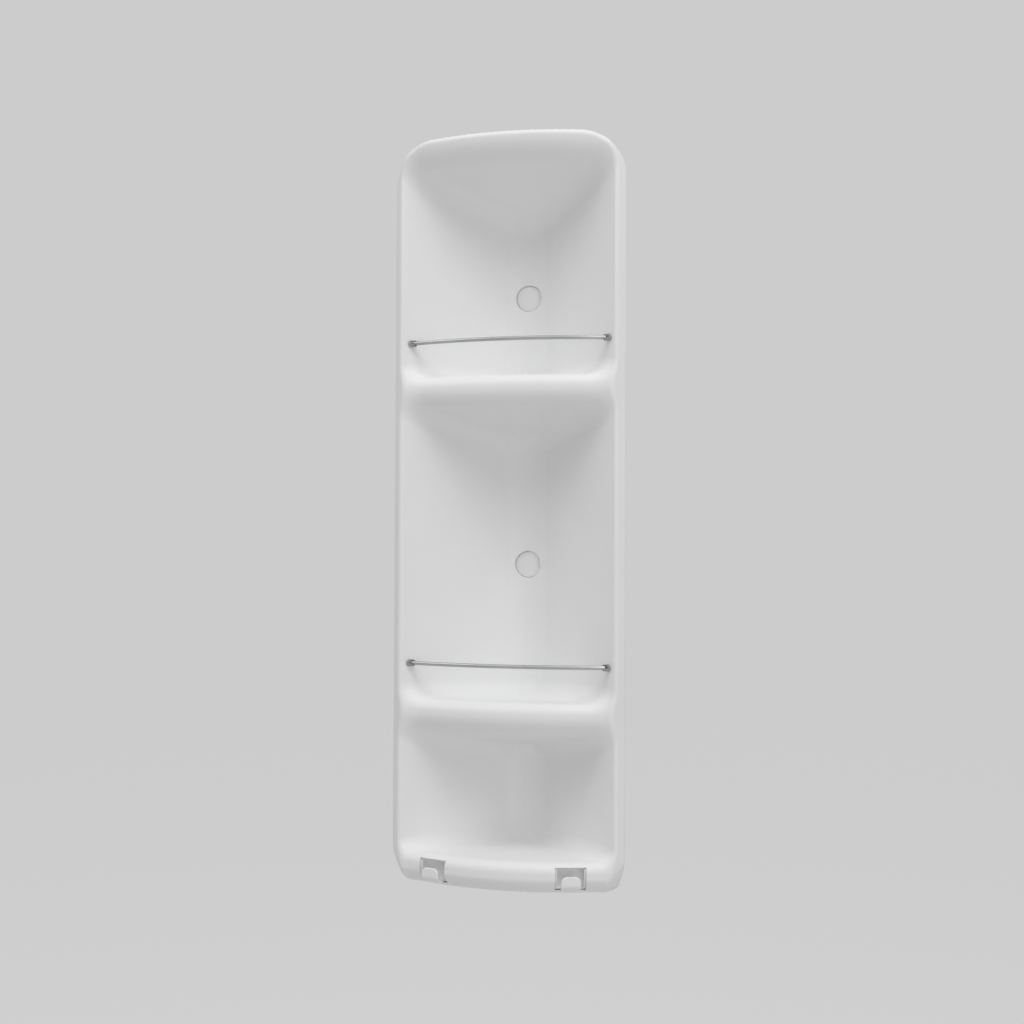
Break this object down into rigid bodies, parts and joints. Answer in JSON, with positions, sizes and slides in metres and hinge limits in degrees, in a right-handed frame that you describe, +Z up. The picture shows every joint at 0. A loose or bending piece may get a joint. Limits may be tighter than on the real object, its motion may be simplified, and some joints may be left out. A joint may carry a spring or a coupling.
{
  "type": "corner shower shelf",
  "caption": "Tall white corner shower shelf: a formed skin with bowed open bays, steel retaining rails in snap clips, cloth hooks in the foot and capped screw fixings.",
  "frame": {"origin": "on the line where the two room walls meet, level with the underside of the foot", "axes": "+Z up along the room corner, -Y out of the corner into the room, +X to the right seen from the room; the room walls are the planes Y = -|X|"},
  "size_m": [0.205, 0.172, 0.643],
  "materials": {
    "white_plastic": "satin gloss moulding",
    "rail_steel": "polished stainless wire",
    "clip_grey": "grey snap-in fittings",
    "fixing_steel": "zinc plated",
    "fixing_nylon": "natural nylon",
    "seal_foam": "closed cell foam"
  },
  "bodies": {
    "unit": {"body_shell": "white_plastic", "hook_left": "white_plastic", "hook_right": "white_plastic", "rim_seal_left": "seal_foam", "rim_seal_right": "seal_foam", "upper_rail_clip_left": "clip_grey", "upper_rail_clip_right": "clip_grey", "lower_rail_clip_left": "clip_grey", "lower_rail_clip_right": "clip_grey", "upper_washer": "fixing_nylon", "lower_washer": "fixing_nylon", "upper_screw": "fixing_steel", "lower_screw": "fixing_steel", "upper_wall_plug": "fixing_nylon", "lower_wall_plug": "fixing_nylon"},
    "upper_rail": {"upper_rail": "rail_steel"},
    "lower_rail": {"lower_rail": "rail_steel"},
    "upper_cap": {"upper_cap": "white_plastic"},
    "lower_cap": {"lower_cap": "white_plastic"}
  },
  "joints": [
    {"name": "upper_rail_unclip", "type": "slide", "parent": "unit", "child": "upper_rail", "axis": [0, -0.7071, 0.7071], "range_m": [0, 0.045]},
    {"name": "lower_rail_unclip", "type": "slide", "parent": "unit", "child": "lower_rail", "axis": [0, -0.7071, 0.7071], "range_m": [0, 0.045]},
    {"name": "upper_cap_pull", "type": "slide", "parent": "unit", "child": "upper_cap", "axis": [0, -1, 0], "range_m": [0, 0.13]},
    {"name": "lower_cap_pull", "type": "slide", "parent": "unit", "child": "lower_cap", "axis": [0, -1, 0], "range_m": [0, 0.13]}
  ]
}
